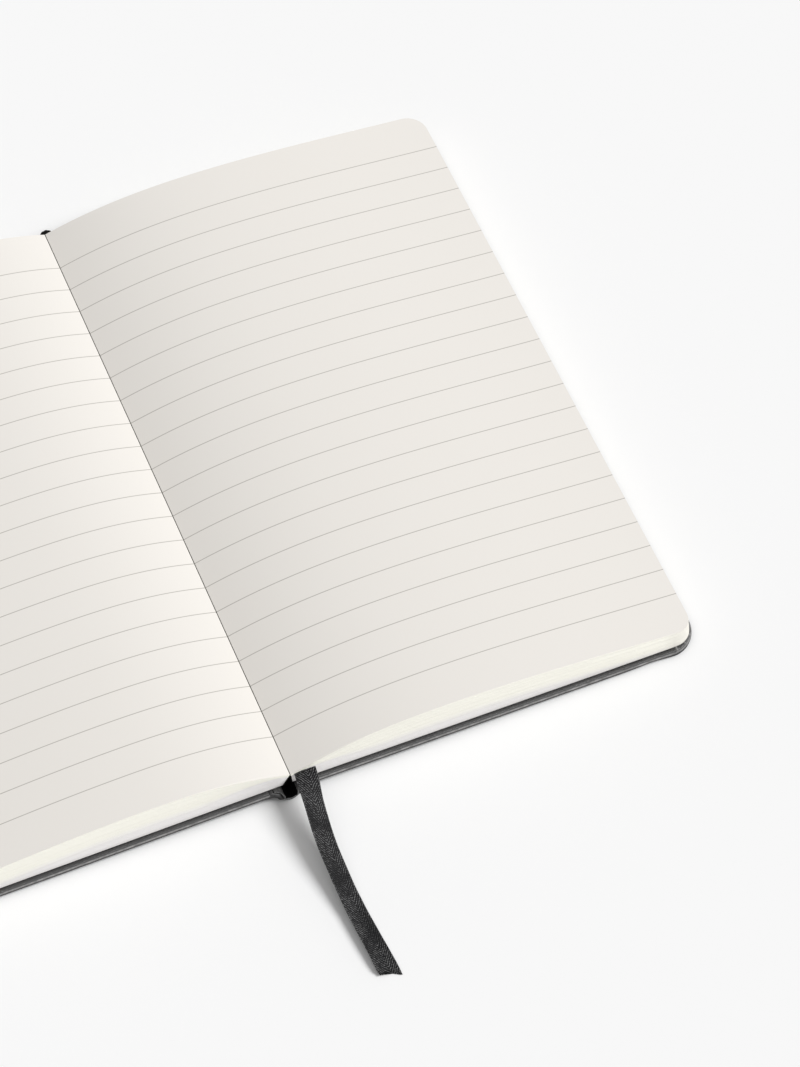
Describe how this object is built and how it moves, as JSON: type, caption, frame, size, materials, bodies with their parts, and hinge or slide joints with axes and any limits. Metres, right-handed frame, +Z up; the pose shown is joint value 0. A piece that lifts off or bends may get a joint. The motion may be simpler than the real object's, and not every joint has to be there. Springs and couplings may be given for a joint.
{
  "type": "hardback ruled notebook",
  "caption": "Open hardback ruled notebook with rounded corners, leatherette covers that hinge at the spine, and a woven ribbon marker.",
  "frame": {"origin": "on the table under the middle of the spine, halfway between head and tail", "axes": "+X across the open notebook to the right-hand page's fore-edge, +Y to the head of the pages, +Z up"},
  "size_m": [0.2556, 0.2754, 0.0159],
  "materials": {
    "page_paper": "ivory writing paper, matt, with fine grey ruling",
    "endpaper": "ivory endpaper, matt",
    "board_card": "grey book board",
    "leatherette": "black leatherette, fine grain, soft satin sheen",
    "lining_cloth": "black open-weave spine cloth",
    "ribbon_weave": "black woven ribbon with a slanting twill"
  },
  "bodies": {
    "back_half": {"right_pages": "page_paper", "right_spine_lining": "lining_cloth", "spine_wrap": "leatherette", "spine_strip": "board_card", "ribbon_marker": "ribbon_weave"},
    "front_half": {"left_pages": "page_paper", "left_spine_lining": "lining_cloth"},
    "back_cover": {"back_board": "board_card", "back_cover_wrap": "leatherette", "back_pastedown": "endpaper"},
    "front_cover": {"front_board": "board_card", "front_cover_wrap": "leatherette", "front_pastedown": "endpaper"}
  },
  "joints": [
    {"name": "closing_fold", "type": "hinge", "parent": "back_half", "child": "front_half", "pos_m": [0, 0, 0.0086], "axis": [0, 1, 0], "range_deg": [0, 180], "deforming": ["left_pages", "right_pages"]},
    {"name": "back_cover_hinge", "type": "hinge", "parent": "back_half", "child": "back_cover", "pos_m": [0.0057, 0, 0.0035], "axis": [0, 1, 0], "range_deg": [0, 90]},
    {"name": "front_cover_hinge", "type": "hinge", "parent": "front_half", "child": "front_cover", "pos_m": [-0.0057, 0, 0.0035], "axis": [0, -1, 0], "range_deg": [0, 90]}
  ]
}
